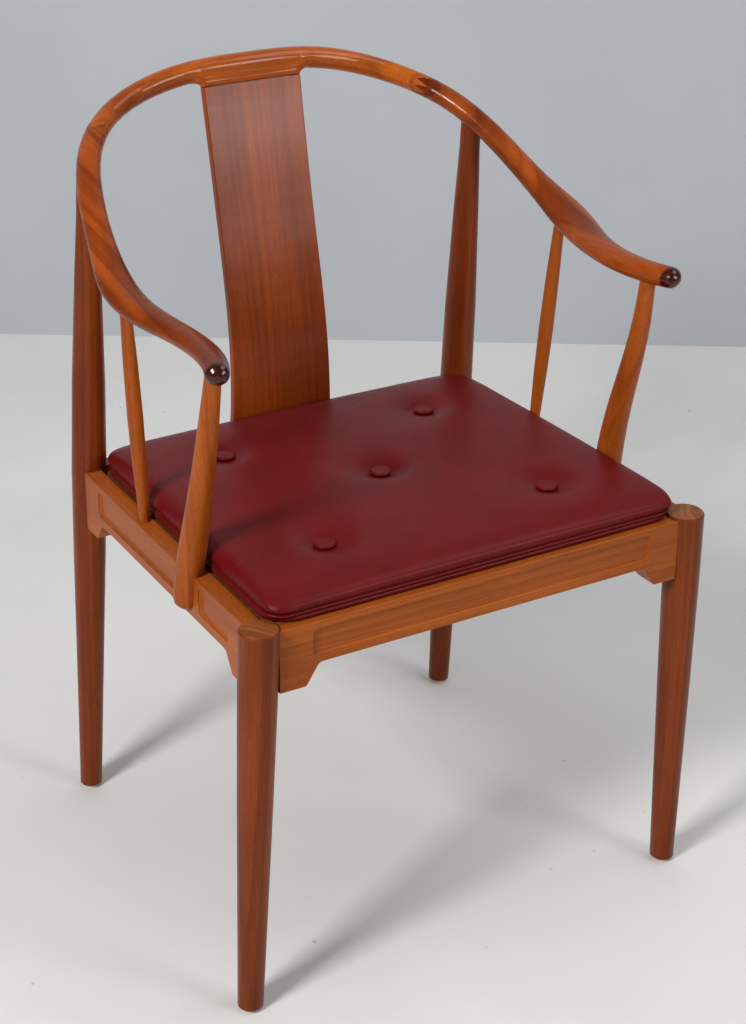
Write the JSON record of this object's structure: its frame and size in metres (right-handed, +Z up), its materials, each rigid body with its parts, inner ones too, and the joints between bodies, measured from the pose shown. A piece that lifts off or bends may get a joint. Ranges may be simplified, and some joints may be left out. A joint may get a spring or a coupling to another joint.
{
  "type": "armchair",
  "caption": "Solid wood armchair with a horseshoe back and arm rail, bent arm posts, a curved splat, a framed seat and a loose tufted leather cushion",
  "frame": {"origin": "On the floor, under the middle of the chair's bounding box", "axes": "+X to the sitter's left, -Y the way the chair faces, +Z up"},
  "size_m": [0.5456, 0.5146, 0.8166],
  "materials": {
    "wood": "satin lacquer",
    "panel": "unfinished plywood and blocks",
    "steel": "zinc plated",
    "glide": "matte",
    "leather": "satin",
    "foam": "open cell foam",
    "backing": "cotton"
  },
  "bodies": {
    "chair": {"crest_rail": "wood", "arm_left": "wood", "arm_right": "wood", "back_splat": "wood", "back_leg_left": "wood", "back_leg_right": "wood", "front_leg_left": "wood", "front_leg_right": "wood", "front_seat_rail": "wood", "back_seat_rail": "wood", "side_seat_rail_left": "wood", "side_seat_rail_right": "wood", "arm_post_left": "wood", "arm_post_right": "wood", "arm_spindle_left": "wood", "arm_spindle_right": "wood", "seat_panel": "panel", "corner_block_front_left": "panel", "corner_block_front_right": "panel", "corner_block_back_left": "panel", "corner_block_back_right": "panel", "corner_block_screws": "steel", "seat_panel_screws": "steel", "arm_post_screws": "steel", "glide_front_left": "glide", "glide_front_right": "glide", "glide_back_left": "glide", "glide_back_right": "glide", "glide_nails": "steel"},
    "cushion": {"cushion_cover": "leather", "cushion_core": "foam", "cushion_buttons": "leather", "cushion_under_buttons": "backing", "cushion_twine": "backing"}
  },
  "joints": [
    {"name": "cushion_lift", "type": "slide", "parent": "chair", "child": "cushion", "axis": [0, -0.9063, 0.4226], "range_m": [0, 0.5]}
  ]
}
